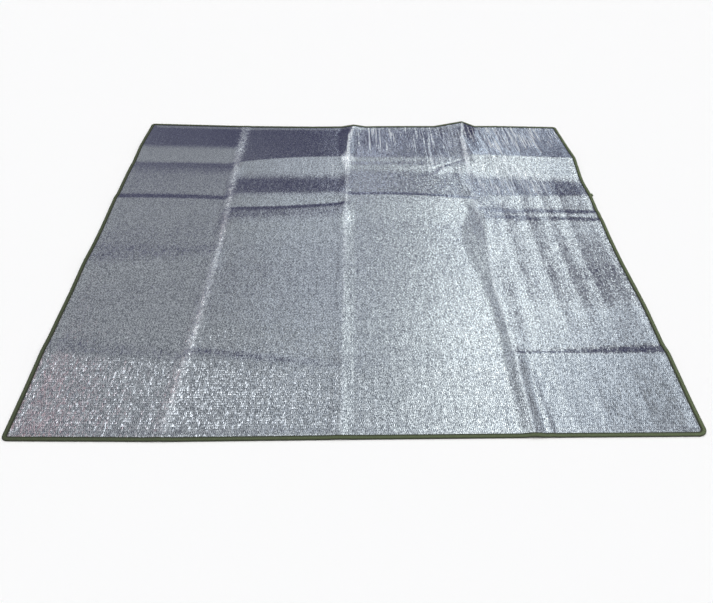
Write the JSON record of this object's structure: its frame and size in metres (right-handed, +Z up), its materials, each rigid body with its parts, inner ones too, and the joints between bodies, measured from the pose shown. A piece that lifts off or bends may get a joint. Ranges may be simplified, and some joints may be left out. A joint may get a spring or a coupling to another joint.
{
  "type": "foil camping mat",
  "caption": "Square foil-faced foam ground mat with a sewn folded-tape edge, opened out flat with its fold creases and low ridges.",
  "frame": {"origin": "on the ground under the middle of the mat", "axes": "+Z up off the ground, +X to the right edge, -Y to the front edge where the tape's ends lap"},
  "size_m": [2.0058, 2.0288, 0.0315],
  "materials": {
    "foil": "satin laminated foil",
    "tape": "woven"
  },
  "bodies": {
    "root": {"foil_sheet": "foil", "edge_binding": "tape"}
  },
  "joints": []
}
